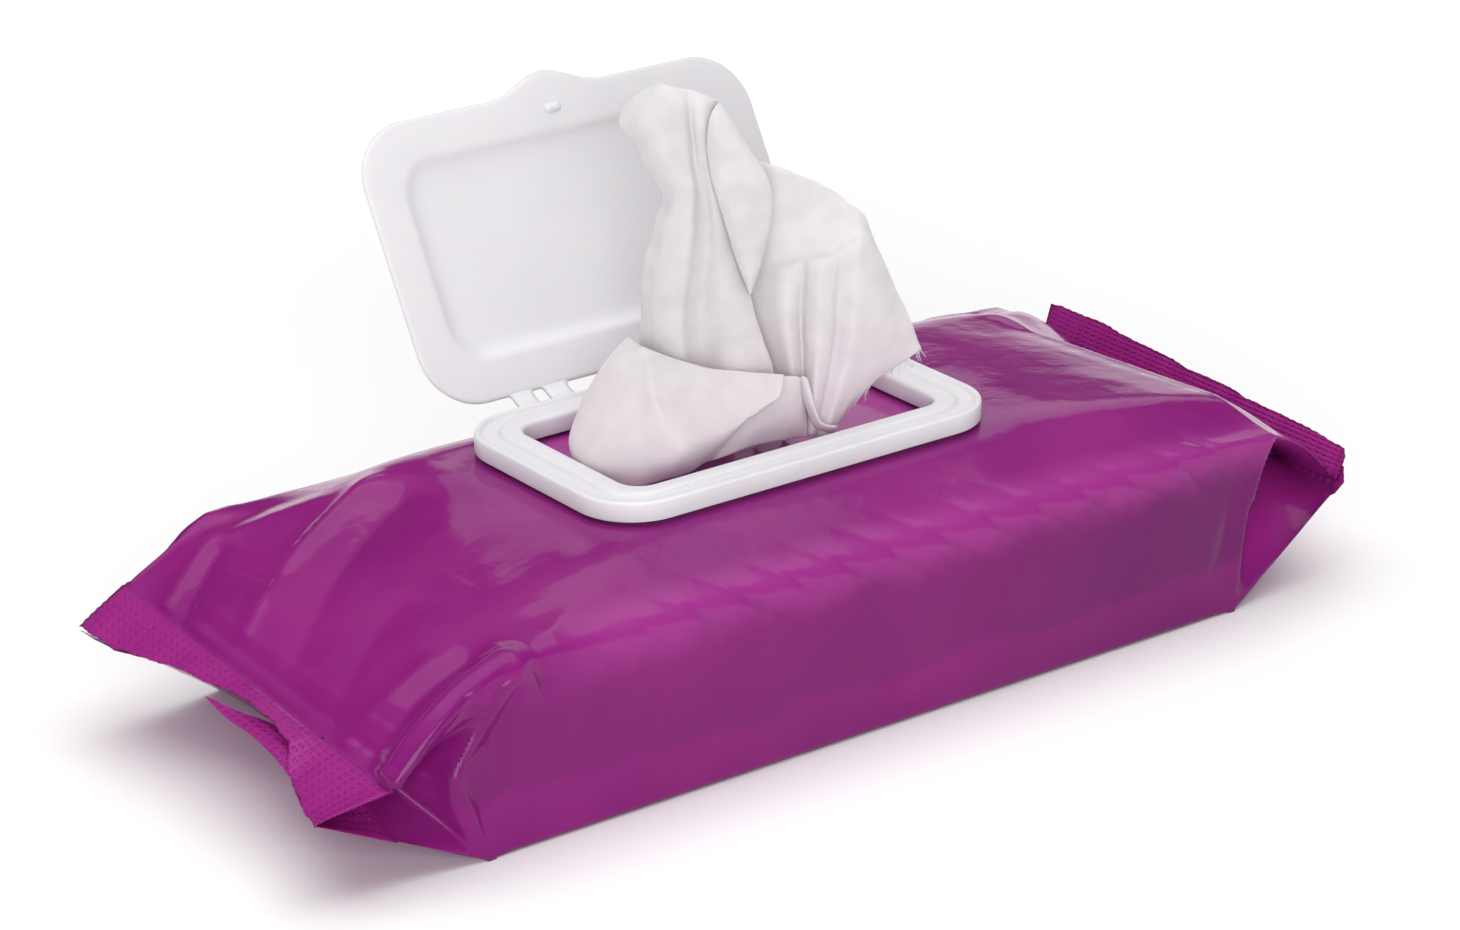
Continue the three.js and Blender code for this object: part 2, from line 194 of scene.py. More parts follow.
class Signal:
    """A number socket that Python's operators work on; each one adds a Math node."""

    def __init__(self, finish, socket):
        self.finish, self.socket = finish, socket

    def math(self, operation, *values):
        inputs = dict(enumerate((self, *values)))
        return self.finish.node("ShaderNodeMath", inputs, operation=operation)

    def __add__(self, other):
        return self.math("ADD", other)

    def __rsub__(self, other):
        return self.math("MULTIPLY", -1.0).math("ADD", other)

    def __mul__(self, other):
        return self.math("MULTIPLY", other)

    def ramp(self, low, high):
        """0 at low, 1 at high and smooth between; low may be the larger of the two."""
        return self.finish.node("ShaderNodeMapRange", {0: self, 1: low, 2: high},
                                interpolation_type="SMOOTHSTEP")


class Finish:
    """A procedural material on object coordinates."""

    def __init__(self, name, **shader):
        self.material = bpy.data.materials.new(name)
        self.material.use_nodes = True
        self.tree = self.material.node_tree
        self.shader = self.tree.nodes["Principled BSDF"]
        self.set(**shader)
        self.place = self.node("ShaderNodeTexCoord", output="Object")

    def feed(self, socket, value):
        if isinstance(value, Signal):
            self.tree.links.new(value.socket, socket)
        else:
            socket.default_value = value

    def node(self, kind, inputs=None, output=0, **settings):
        node = self.tree.nodes.new(kind)
        for key, value in settings.items():
            setattr(node, key, value)
        for key, value in (inputs or {}).items():
            self.feed(node.inputs[key], value)
        return Signal(self, node.outputs[output])

    def set(self, **values):
        for key, value in values.items():
            self.feed(self.shader.inputs[key.replace("_", " ")], value)

    def axes(self):
        """X, Y and Z in millimetres."""
        split = self.node("ShaderNodeSeparateXYZ", {0: self.place}).socket.node
        return [Signal(self, split.outputs[i]) * (1 / MM) for i in range(3)]

    def noise(self, size, detail=2.0, stretch=(1, 1, 1), roughness=0.5):
        """Cloudy noise about as coarse as size, in millimetres."""
        scale = [s / (size * MM) for s in stretch]
        place = self.node("ShaderNodeMapping", {"Vector": self.place, "Scale": scale})
        return self.node("ShaderNodeTexNoise", {"Vector": place, "Scale": 1.0, "Detail": detail,
                                                "Roughness": roughness})

    def blend(self, factor, a, b):
        return self.node("ShaderNodeMix", {0: factor, 6: a, 7: b}, output=2, data_type="RGBA")

    def bump(self, height, depth, normal=None):
        """A normal for a relief that is depth millimetres deep, on top of another normal."""
        inputs = {"Height": height, "Distance": depth * MM}
        if normal:
            inputs["Normal"] = normal
        return self.node("ShaderNodeBump", inputs)


def film_finish():
    finish = Finish("magenta film", Specular_IOR_Level=0.17)
    x, y, z = finish.axes()
    outwards = y.math("ABSOLUTE")
    left_fin = (x * -1.0).ramp(118.0, 120.0)
    right_fin = x.ramp(126.0, 127.5)
    fins = left_fin.math("MAXIMUM", right_fin)
    cloud = finish.noise(38, detail=3)
    colour = finish.blend(cloud.ramp(0.35, 0.7), rgb("80196f"), rgb("8b2075"))
    # painted highlight: a lighter band along the long edges; it and the painted shade below have a
    # ragged outline
    ragged = z + finish.noise(11, detail=3) * 8.0
    painted_edge_sheen = outwards.ramp(42.0, 48.0) * ragged.ramp(34.0, 41.0) * x.ramp(-86.0, -64.0)
    colour = finish.blend(painted_edge_sheen * 0.45, colour, rgb("a53e90"))
    # painted shade: the sides darker up high and towards the right end
    sides = outwards.ramp(46.0, 50.0) * ragged.ramp(43.0, 32.0)
    upper_side = (z + finish.noise(16, detail=3) * 9.0).ramp(15.0, 18.5)
    shade = sides * (upper_side * 0.35 + x.ramp(-10.0, 80.0) * 0.5)
    colour = finish.blend(shade, colour, rgb("64165a"))
    # painted light inside the frame, standing for light through the white wipes; a lighter tone on
    # the fins
    painted_light_in_opening = outwards.ramp(24.0, 19.0) * x.math("ABSOLUTE").ramp(42.0, 36.0) * z.ramp(46.0, 47.0)
    colour = finish.blend(painted_light_in_opening * 0.7, colour, rgb("ac4496"))
    colour = finish.blend(fins, colour, rgb("96207c"))
    gloss = finish.noise(9, detail=4) * 0.08 + fins * 0.16 + 0.09
    # the right fin stands up, so its crimps follow height as well as length
    rows = ((x + z * right_fin) * (math.tau / CRIMP_PITCH)).math("SINE")
    dashes = (y * (math.tau / CRIMP_DASH)).math("SINE").ramp(-0.5, 0.3)
    slack = finish.noise(13, detail=4, stretch=(0.7, 1, 1))
    normal = finish.bump(slack, 0.35)
    normal = finish.bump(finish.noise(2.6, detail=2), 0.012, normal=normal)
    normal = finish.bump(rows.ramp(-0.2, 0.8) * dashes * fins, 0.22, normal=normal)
    finish.set(Base_Color=colour, Roughness=gloss, Normal=normal)
    return finish.material


def moulding_finish():
    finish = Finish("white moulding", Subsurface_Weight=0.12, Subsurface_Scale=0.002,
                    Specular_IOR_Level=0.45)
    dots = finish.noise(1.4, detail=1).ramp(0.74, 0.79)
    specks = dots * finish.noise(11, detail=0).ramp(0.6, 0.66)
    flow = finish.noise(45, detail=3, stretch=(1, 0.5, 1))
    colour = finish.blend(flow.ramp(0.3, 0.75), rgb("d8d7da"), rgb("dedde0"))
    colour = finish.blend(specks * 0.35, colour, rgb("b9b6b8"))
    finish.set(Base_Color=colour, Roughness=finish.noise(6, detail=3) * 0.14 + 0.3,
               Normal=finish.bump(finish.noise(0.8, detail=3), 0.012))
    return finish.material


def wipe_finish():
    finish = Finish("nonwoven wipe", Roughness=0.95, Specular_IOR_Level=0.15,
                    Sheen_Weight=0.15, Sheen_Roughness=0.6, Subsurface_Weight=0.3,
                    Subsurface_Scale=0.002, Subsurface_Radius=(1, 0.95, 0.97))
    height = finish.axes()[2]
    # painted bounce light: a pink tint low down near the slot, for light thrown by the magenta film
    painted_film_bounce = 1.0 - height.ramp(50.0, 84.0)
    mottle = finish.noise(5, detail=4)
    colour = finish.blend(mottle.ramp(0.3, 0.7), rgb("cfcbce"), rgb("d7d4d6"))
    colour = finish.blend(painted_film_bounce * 0.55, colour, rgb("dcc8d2"))
    crumple = finish.noise(4.5, detail=5, stretch=(1, 1, 0.5), roughness=0.6)
    fibres = finish.noise(0.9, detail=4, stretch=(1, 1, 0.25), roughness=0.7)
    normal = finish.bump(fibres, 0.07, normal=finish.bump(crumple, 0.22))
    finish.set(Base_Color=colour, Normal=normal)
    return finish.material


def stack_finish():
    finish = Finish("stacked wipes", Roughness=0.95, Sheen_Weight=0.2)
    height = finish.axes()[2]
    layers = (height * (math.tau / WIPE_PITCH) + finish.noise(20) * 3.0).math("SINE")
    colour = finish.blend(layers.ramp(-1, 1), rgb("dcd5d9"), rgb("f2edf0"))
    finish.set(Base_Color=colour, Normal=finish.bump(layers, 0.12))
    return finish.material


def adhesive_finish():
    finish = Finish("hot-melt adhesive", Roughness=0.45, Coat_Weight=0.3)
    cloud = finish.noise(4, detail=3)
    colour = finish.blend(cloud, rgb("e6ddb8"), rgb("efe8cf"))
    finish.set(Base_Color=colour, Normal=finish.bump(cloud, 0.1))
    return finish.material


FILM, MOULDING, WIPE = film_finish(), moulding_finish(), wipe_finish()


# ---- film wrap -----------------------------------------------------------------
def corner_share(y):
    """0 along the middle of the base film's ends and 1 at their corners."""
    return ease((abs(y) - 26) / 22)


class End:
    """One end of the wrap. Lengths out are measured from the pack's middle.

    The top breaks downwards along breaks, a line of (y, out) points, and runs to the seal's
    root, (out, height, climb towards the back). The fin goes on from there to its rim, a line
    of (y, out, height) points. corners is where the base film meets it, near and far, as (out,
    height). Each side panel bends along a fold with a belly, and tuck is the share of its
    height where it goes in deepest, near and far. lean shifts the slope sideways, and taper
    and edge_taper lower the top's middle and its long edges towards the end.
    """

    def __init__(self, side, root, rim, corners, breaks, belly, tuck, lean, taper, edge_taper):
        self.side, self.root, self.corners, self.breaks = side, root, corners, breaks
        self.rim_outs = [(y, out) for y, out, z in rim]
        self.rim_heights = [(y, z) for y, out, z in rim]
        self.belly, self.tuck, self.lean = belly, tuck, lean
        self.taper, self.edge_taper = taper, edge_taper

    def break_out(self, y):
        return polyline(self.breaks, y)

    def root_height(self, y):
        return self.root[1] + self.root[2] * y

    def fold_out(self, side, height_share):
        """Where a side panel's upright fold lies: it bends out or in at half height."""
        top = self.break_out(side * HALF_WIDTH)
        bow = self.belly * 4 * height_share * (1 - height_share)
        return mix(BASE_HALF_LENGTH, top, height_share) + bow

    def tuck_share(self, side, height_share):
        """1 where a side panel goes in deepest, 0 at its upper and lower edge."""
        deepest = self.tuck[side > 0]
        return min(height_share / deepest, (1 - height_share) / (1 - deepest))

    def crown(self, out, y):
        """Height of the top before it breaks downwards."""
        past = max(0, out - TAPER_START)
        peak = max(CROWN - self.taper * past ** 2, LONG_EDGE)
        edge = LONG_EDGE - self.edge_taper * past ** 2
        return mix(peak, edge, ease((abs(y) - LEVEL_HALF_WIDTH) / (HALF_WIDTH - LEVEL_HALF_WIDTH)))

    def top(self, out, y):
        """Height of the top film."""
        root_out, root_z = self.root[0], self.root_height(y)
        reach = (root_out - out) / (root_out - self.break_out(y))
        if reach >= 1:
            return self.crown(out, y)
        y = clamp(y + self.lean * (1 - max(reach, 0)), -HALF_WIDTH, HALF_WIDTH)
        knee = self.break_out(y)
        reach = clamp((root_out - out) / (root_out - knee))
        climb = 0.35 * reach + 0.65 * (1 - (1 - reach) ** 2.2)
        return mix(root_z, self.crown(knee, y), climb)

    def base(self, out, y):
        """Height of the base film, which climbs to the seal in the middle and to the corners."""
        past = max(0, out - BASE_HALF_LENGTH)
        corner_out, corner_z = self.corners[y > 0]
        to_corner = corner_z * past / (corner_out - BASE_HALF_LENGTH)
        to_root = self.root_height(y) * min(1, past / (self.root[0] - BASE_HALF_LENGTH))
        return mix(to_root, to_corner, corner_share(y))

    def fin(self, along, y):
        """Distance out and height of the fin's middle surface, along from its root to its rim."""
        out = mix(self.root[0], polyline(self.rim_outs, y), along)
        z = mix(self.root_height(y), polyline(self.rim_heights, y), along)
        z += 0.9 * along * noise.noise(Vector((y / 13, self.side, 2)))
        out += 0.8 * along * noise.noise(Vector((y / 6, self.side, 7)))
        across_crimps = out + (z if self.side > 0 else 0)
        crimp = CRIMP_DEPTH * math.sin(math.tau * across_crimps / CRIMP_PITCH)
        return out, z + crimp * ease((along - 0.25) / 0.15)


LEFT = End(
    side=-1, root=(118.5, 25, 0.085), corners=((136, 19.4), (129.8, 22.4)),
    rim=[(-50, 135.8, 19.4), (-42, 133, 17.8), (-30, 128.6, 18.8), (-26.5, 127.4, 20.5),
         (-23, 124.4, 23), (-8, 123.2, 25), (3, 123.2, 24.7), (18, 125.2, 23.9),
         (38, 128.4, 22.2), (50, 129.6, 22.8)],
    breaks=[(-50, 87.8), (29, 70.5), (47, 96), (50, 99)],
    belly=10.5, tuck=(0.48, 0.5), lean=-15, taper=0.006, edge_taper=0.0003)
RIGHT = End(
    side=1, root=(126.5, 23.5, 0.02), corners=((129.4, 23), (129.4, 24)),
    rim=[(-50, 128.4, 28.6), (-47, 131.2, 29.2), (47, 131.5, 35), (50, 130, 35.2)],
    breaks=[(-50, 106.5), (20, 88), (38, 110), (50, 113)],
    belly=-3, tuck=(0.7, 0.6), lean=0, taper=0.0022, edge_taper=0.0009)


def panel_point(panel, share, top, base, fold_depth):
    """Y and Z of a point of one cross-section.

    panel is "base", "top" or, for a side panel, (side, share of its height). top and base give
    heights at a y, and fold_depth says how far in a side panel stands.
    """
    if panel == "base":
        return share * HALF_WIDTH, base(share * HALF_WIDTH)
    if panel == "top":
        return -share * HALF_WIDTH, top(-share * HALF_WIDTH)
    side, height = panel
    y = side * (HALF_WIDTH - fold_depth(side, height))
    return y, mix(base(y), top(y), height)


def body_point(x, panel, share):
    """A point of the wrap between its two seals."""
    end = LEFT if x < 0 else RIGHT
    out = abs(x)

    def top(y):
        return end.top(out, y)

    def base(y):
        lap = SEAL_LIFT if abs(y) > SEAL_HALF_WIDTH else 0
        return end.base(out, y) + lap * (1 - ease((out - 90) / 8))

    def fold_depth(side, height):
        rise = top(HALF_WIDTH) - base(HALF_WIDTH)
        arm = math.sqrt(max(0, SIDE_ARM ** 2 - (rise / 2) ** 2)) * end.tuck_share(side, height)
        past = max(0, out - end.fold_out(side, height))
        bulge = 1.3 * math.sin(math.pi * height) * (1 - ease((out - 70) / 25))
        return soft_min(1.5 * past, arm, 1.2) * ease(past / 3) - bulge

    return (x, *panel_point(panel, share, top, base, fold_depth))


def fin_point(end, along, panel, share):
    """A point of the wrap on a fin, which thins to nothing at its rim."""
    half_thickness = FIN_HALF_THICKNESS * (1 - along ** 8)

    def top(y):
        return end.fin(along, y)[1] + half_thickness

    def base(y):
        out, z = end.fin(along, y)
        corner = min(end.base(out, math.copysign(HALF_WIDTH, y)), z)
        return mix(z - half_thickness, corner, corner_share(y))

    def fold_depth(side, height):
        return (SIDE_ARM - 1) * end.tuck_share(side, height)

    y, z = panel_point(panel, share, top, base, fold_depth)
    return end.side * end.fin(along, y)[0], y, z


FIN_STEPS, END_STEPS, MIDDLE_STEPS = 34, 62, 176
BASE_STEPS, SIDE_STEPS, TOP_STEPS = 16, 42, 84


def film_columns():
    """Stations along the wrap: a place x on the body, or an end and the share along its fin."""
    left = [(LEFT, along) for along in spread(1, 0, FIN_STEPS)]
    body = (spread(-LEFT.root[0], -ENDS_START, END_STEPS)
            + spread(-ENDS_START, ENDS_START, MIDDLE_STEPS)
            + spread(ENDS_START, RIGHT.root[0], END_STEPS))
    right = [(RIGHT, along) for along in spread(0, 1, FIN_STEPS)] + [(RIGHT, 1)]
    return left + [(None, x) for x in body] + right


def film_rows():
    """Places round the girth, from the middle of the base over the back, top and near side."""
    return ([("base", s) for s in spread(0, 1, BASE_STEPS)]
            + [((1, s), s) for s in spread(0, 1, SIDE_STEPS)]
            + [("top", s) for s in spread(-1, 1, TOP_STEPS)]
            + [((-1, s), s) for s in spread(1, 0, SIDE_STEPS)]
            + [("base", s) for s in spread(-1, 0, BASE_STEPS)] + [("base", 0)])


FOLD_REACH, DENT_REACH = 9.0, 6.0    # a crease shapes only film that lies this near it


class Fold:
    """A long soft ridge, or a valley where height is negative; fade of it is left at its end."""

    def __init__(self, start, end, width, height, fade):
        self.start, self.line = Vector(start), Vector(end) - Vector(start)
        self.width, self.height, self.fade = width, height, fade

    def relief(self, point, normal):
        offset = point - self.start
        share = clamp(offset.dot(self.line) / self.line.length_squared)
        gap = offset - share * self.line
        above = gap.dot(normal)
        distance = math.sqrt(max(0, gap.length_squared - above ** 2))
        if abs(above) > FOLD_REACH or distance > 4 * self.width:
            return 0
        rounding = mix(2.4, 0.4, ease(share / 0.35))
        crest = math.exp(-(math.hypot(distance, rounding) - rounding) / (0.8 * self.width))
        return self.height * crest * mix(1, self.fade, share) * ease(share / 0.2)


class Dent:
    """A shallow three-sided facet that is pressed into the film."""

    def __init__(self, a, b, c, depth):
        self.a, self.depth = Vector(a), depth
        self.u, self.v = Vector(b) - self.a, Vector(c) - self.a
        self.normal = self.u.cross(self.v).normalized()

    def relief(self, point, _normal):
        offset = point - self.a
        if abs(offset.dot(self.normal)) > DENT_REACH:
            return 0
        area = self.u.cross(self.v).dot(self.normal)
        s = offset.cross(self.v).dot(self.normal) / area
        t = self.u.cross(offset).dot(self.normal) / area
        return -self.depth * clamp(3 * min(s, t, 1 - s - t))


CREASES = [
    # from the peak of the left end's ridge
    Fold((-66, 31, 47.5), (-112, 12, 29), 2.4, 2.4, 0.3),
    Fold((-64, 24, 48), (-110, -4, 29), 6.0, -3.2, 0.2),
    # rolled edge over the left gusset and the valleys beside it
    Fold((-84, -47.5, 41), (-118, -46.5, 23.5), 3.0, 2.4, 0.8),
    Fold((-90, -40.5, 41), (-117, -39, 25), 3.2, -1.9, 0.6),
    Fold((-96, -35, 40), (-119, -31, 24), 2.6, 1.1, 0.6),
    Fold((-86, -48, 41.5), (-56, -38, 46), 3.0, 1.2, 0.0),
    Dent((-87.5, -50, 40), (-84, -50, 29), (-79, -50, 34), 1.3),
    # facets of the left gusset
    Dent((-87.6, -50, 40), (-103.5, -50, 20.5), (-92.5, -50, 14), 3.0),
    Dent((-93, -50, 14), (-103.5, -50, 20), (-97, -50, 1), 2.0),
    Fold((-102, -49, 20), (-118, -49, 20.5), 1.8, 1.2, 0.8),
    # lines beside the left seal
    Fold((-116.2, 47, 29), (-116.2, -46, 22), 0.6, 0.28, 1),
    Fold((-114.6, 46, 30), (-114.4, -46, 23), 0.7, -0.3, 1),
    Fold((-112.6, 44, 31), (-110.2, -45, 25.5), 0.8, 0.25, 0.7),
    # facets on the left slope
    Dent((-104, 32, 33), (-97, 14, 37), (-105, 12, 33), 1.2),
    Fold((-97, 44, 39), (-116, 36, 27), 2.0, 1.2, 0.6),
    Fold((-100, 40, 38), (-116, 29, 27), 2.2, -1.3, 0.5),
    Fold((-90, -12, 44), (-116, -24, 26), 6.0, -1.1, 0.5),
    # right end
    Fold((93, 46, 43), (106, -46, 38.5), 2.2, 0.7, 0.8),
    Fold((94, 30, 45), (104, 48, 40), 3.0, -1.1, 0.6),
    Fold((96.5, -50, 4), (99, -50, 24), 1.6, 0.9, 0.7),
    Fold((99, -50, 24), (105, -50, 36), 1.8, 1.0, 0.6),
    Fold((100, -48, 4), (105, -40, 24), 1.6, -0.9, 0.6),
    Dent((95, -50, 30), (88, -50, 10), (95, -50, 6), 0.7),
]


PILLOW_LENGTH = 12.6


def puckers(point):
    """The edges of the folded wipes press a row of slanting pillows into the near long edge."""
    down = LONG_EDGE - point.z - 0.5 * (HALF_WIDTH + point.y)
    wander = 0.22 * noise.noise(Vector((point.x / 17, 0, 3)))
    phase = (point.x - 1.2 * down) / PILLOW_LENGTH + wander
    pillow = 1 - abs(2 * (phase % 1) - 1) ** 5
    ends = ease((point.x + 78) / 30) * ease((99 - point.x) / 14)
    size = 0.75 + 0.5 * noise.noise(Vector((math.floor(phase) * 1.7, 5, 0)))
    return 1.35 * size * (pillow - 0.7) * bell(down - 4, 6) * ends


def film_relief(point, normal, under_frame):
    """How far the film stands proud of its plain shape; it lies flat under the frame."""
    low, high = under_frame
    gap = max(low.x - point.x, point.x - high.x, low.y - point.y, point.y - high.y)
    free = ease((gap - 0.5) / 7) if point.z > LONG_EDGE else 1
    off_base = ease((point.z - 0.6) / 5)
    taut = mix(1, 0.4, ease((point.x - 40) / 30))
    height = 0.7 * taut * noise.fractal(point / 34, 1.0, 2.0, 2)
    near_end = taut * ease((abs(point.x) - 78) / 25)
    height += 0.3 * near_end * (noise.ridged_multi_fractal(point / 23, 1.0, 2.1, 3, 1.0, 2.0) - 1.1)
    if point.y < -30:
        height += puckers(point)
    height += sum(crease.relief(point, normal) for crease in CREASES)
    return height * free * off_base


def cut_slot(bm, centre_x):
    """Opens the film for the wipe and turns the slot's lip a little way in."""
    def reach(vert):
        """1 on the slot's outline, less inside it."""
        if vert.co.z < LONG_EDGE:
            return math.inf
        return math.hypot((vert.co.x - centre_x) / SLOT_HALF_LENGTH, vert.co.y / SLOT_HALF_WIDTH)

    inside = [face for face in bm.faces if max(reach(vert) for vert in face.verts) < 1]
    bmesh.ops.delete(bm, geom=inside, context="FACES")
    rim = [edge for edge in bm.edges if edge.is_boundary and max(map(reach, edge.verts)) < 3]
    lip = bmesh.ops.extrude_edge_only(bm, edges=rim)["geom"]
    lip_verts = [item for item in lip if isinstance(item, bmesh.types.BMVert)]
    bmesh.ops.translate(bm, verts=lip_verts, vec=(0, 0, -SLOT_LIP))


def torn_tongue(bm):
    """The sliver of film that a tear has left standing off the left fin's free edge."""
    edge = [Vector(p) for p in ((-128.4, -29, 19.3), (-127.4, -21, 20.7), (-126.6, -12, 21.2),
                                (-126.8, -3, 21.6), (-126.1, 6, 22.7))]

    def place(along, across):
        inwards = TONGUE_WIDTH * (1 - along) ** 0.8 * across
        return curve_point(edge, along) + inwards * Vector((1, 0.2, 0.25))

    placed_grid(bm, 40, 6, place)


def smooth(bm, verts):
    """One round of smoothing that leaves the columns where they are."""
    bmesh.ops.smooth_vert(bm, verts=verts, factor=0.5, use_axis_y=True, use_axis_z=True)


def film_wrap():
    columns, rows = film_columns(), film_rows()
    bm = bmesh.new()

    def place(along, round_girth):
        end, at = columns[round(along * (len(columns) - 1))]
        row = round(round_girth * (len(rows) - 1))
        panel, share = rows[row]
        if end is None:
            return body_point(at, panel, share)
        x, y, z = fin_point(end, at, panel, share)
        tooth = TOOTH_DEPTH if row % 2 and at == 1 else 0
        return x - end.side * tooth, y, z

    placed_grid(bm, len(columns) - 1, len(rows) - 1, place)
    bmesh.ops.remove_doubles(bm, verts=bm.verts, dist=MERGE_DISTANCE)
    # rounds of smoothing, each over the film within a reach of the middle and above a height
    rounds = ([(80 + step, 7) for step in range(14)]
              + [(80 - 0.6 * step, 24) for step in range(24)])
    for reach, lowest in rounds:
        smooth(bm, [vert for vert in bm.verts if abs(vert.co.x) < reach and vert.co.z > lowest])
    body = [vert for vert in bm.verts
            if -LEFT.root[0] + 1 < vert.co.x < RIGHT.root[0] - 1 and vert.co.z > 0.1]
    smooth(bm, body)
    bmesh.ops.recalc_face_normals(bm, faces=bm.faces)
    bm.normal_update()
    under_frame = mm_box("lid_frame")
    reliefs = {vert: film_relief(vert.co, vert.normal, under_frame) for vert in body}
    for vert, height in reliefs.items():
        vert.co += vert.normal * height
    cut_slot(bm, (under_frame[0].x + under_frame[1].x) / 2)
    torn_tongue(bm)
    piece = finished("wrap", bm, FILM)
    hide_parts("film_wrap")


# ---- moulded frame and lid -----------------------------------------------------
CORNER_STEPS, STRAIGHT_STEPS = 14, 22
QUARTER_STEPS = CORNER_STEPS + STRAIGHT_STEPS
LOOP_STEPS = 4 * QUARTER_STEPS


def rounded_point(i, half_x, half_y, radius):
    """Point i round a rounded rectangle, anticlockwise from the right end's straight."""
    quarter, step = divmod(i, QUARTER_STEPS)

    def corner(number):
        signs = ((1, 1), (-1, 1), (-1, -1), (1, -1))[number % 4]
        return Vector((signs[0] * (half_x - radius), signs[1] * (half_y - radius), 0))

    def arc(number, share):
        angle = (number + share) * math.pi / 2
        return corner(number) + radius * Vector((math.cos(angle), math.sin(angle), 0))

    if step <= CORNER_STEPS:
        return arc(quarter, step / CORNER_STEPS)
    return arc(quarter, 1).lerp(arc(quarter + 1, 0), (step - CORNER_STEPS) / STRAIGHT_STEPS)


RING_DEPTH = 60.0                          # from its front to its back
FRAME_RADIUS, OPENING_RADIUS = 13.0, 5.0
BAND_AT_ENDS, BAND_AT_SIDES = 10.2, 8.8    # how wide the ring is
LATCH_INSET, LATCH_DEPTH = 2.2, 0.5        # the dimple in the ring's front
# Share of the way across the ring from its outer edge, and depth below its top: outer wall,
# thin rim, seat for the lid's flange, raised inner rim and inner wall.
RING_SECTION = [
    (0.01, 4.2), (0, 4.0), (0, 0.7), (0.01, 0.28), (0.035, 0.05), (0.07, 0), (0.105, 0.06),
    (0.13, 0.3), (0.15, 0.7), (0.175, 0.92), (0.22, 0.98), (0.44, 0.98), (0.48, 0.9), (0.51, 0.6),
    (0.54, 0.24), (0.58, 0.04), (0.63, 0), (0.86, 0), (0.92, 0.07), (0.965, 0.3), (0.99, 0.7),
    (1, 1.2), (1, 4.0), (0.99, 4.2),
]


def lid_frame():
    low, high = mm_box("lid_frame")
    middle, half = (low + high) / 2, (high - low) / 2
    bm = bmesh.new()

    def place(station, i):
        share, depth = station
        point = rounded_point(i, half.x - share * BAND_AT_ENDS, half.y - share * BAND_AT_SIDES,
                              mix(FRAME_RADIUS, OPENING_RADIUS, share))
        point += Vector((middle.x, middle.y, high.z - depth))
        if depth < 2:
            off_latch = point - Vector((middle.x, low.y + LATCH_INSET, 0))
            point.z -= LATCH_DEPTH * bell(off_latch.x, 4.5) * bell(off_latch.y, 1.3)
        return point

    swept_rings(bm, LOOP_STEPS, RING_SECTION, place, closed=True)
    bmesh.ops.recalc_face_normals(bm, faces=bm.faces)
    piece = finished("lid_ring", bm, MOULDING)
    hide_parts("lid_frame")


HINGE = next(joint for joint in frame["joints"] if joint["name"] == "lid_hinge")
HINGE_LINE = Vector(HINGE["pos_m"]) / MM
LEAN_BACK = math.radians(180 - HINGE["range_deg"][1])
LID_SPACE = Matrix.Translation(HINGE_LINE) @ Matrix.Rotation(LEAN_BACK, 4, "X")
LID_HALF_LENGTH, LID_DEPTH, LID_RADIUS = 50.3, 62.0, 13.0
HINGE_REACH, HINGE_DROP = 2.1, 0.8
HINGE_TO_LATCH = HINGE_REACH + RING_DEPTH - LATCH_INSET
LID_WALL, FLANGE_WIDTH = 1.4, 10.0
TAB_HALF_WIDTH, TAB_REACH = 13.0, 4.3
NUB_RADIUS, NUB_HALF_LENGTH, NUB_RISE = 1.2, 2.2, 0.35
WEB_THICKNESS = 0.55
# Distance in from the lid's edge, and depth below its inner face: from the middle of the
# outer face, over the raised panel's shoulder and the edge, to the middle of the inner face.
LID_SECTION = [
    (30.6, 5.0), (25, 5.0), (20, 5.0), (16, 5.0), (13.6, 4.95), (12.3, 4.6), (11.3, 3.9),
    (10.4, 2.9), (9.5, 2.0), (8.4, 1.5), (7, 1.4), (1.2, 1.4), (0.5, 1.3), (0.12, 1.05),
    (0, 0.7), (0.1, 0.35), (0.45, 0.1), (1.1, 0), (7.8, 0), (8.5, 0.06), (9.1, 0.28),
    (9.7, 0.68), (10.3, 1.12), (11, 1.48), (11.9, 1.76), (13.2, 1.94), (15.5, 2), (20, 2),
    (25, 2), (30.6, 2),
]


def lid_outline(i, inset):
    """Point i of the lid's outline, moved in by inset; the tab stands out of the front edge."""
    point = rounded_point(i, LID_HALF_LENGTH - inset, LID_DEPTH / 2 - inset,
                          max(0.3, LID_RADIUS - 0.55 * inset))
    if point.y > 0:
        bump = ease(1 - abs(point.x) / TAB_HALF_WIDTH) ** 0.85
        point.y += TAB_REACH * bump * clamp(1 - inset / FLANGE_WIDTH) ** 1.5
    point.y += HINGE_REACH + LID_DEPTH / 2
    return point


def lid_panel():
    """The lid, drawn closed from its hinge line on and then turned to its place."""
    bm = bmesh.new()

    def place(station, i):
        inset, depth = station
        return lid_outline(i, inset) - Vector((0, 0, HINGE_DROP + depth))

    swept_rings(bm, LOOP_STEPS, LID_SECTION, place)
    nub = bmesh.ops.create_uvsphere(bm, u_segments=24, v_segments=16, radius=NUB_RADIUS)["verts"]
    for vert in nub:
        vert.co.x += math.copysign(NUB_HALF_LENGTH - NUB_RADIUS, vert.co.x)
        vert.co += Vector((0, HINGE_TO_LATCH, -HINGE_DROP - NUB_RISE))
    bmesh.ops.recalc_face_normals(bm, faces=bm.faces)
    bmesh.ops.transform(bm, matrix=LID_SPACE, verts=bm.verts)
    piece = finished("flip_lid", bm, MOULDING, body="lid")
    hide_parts("lid")


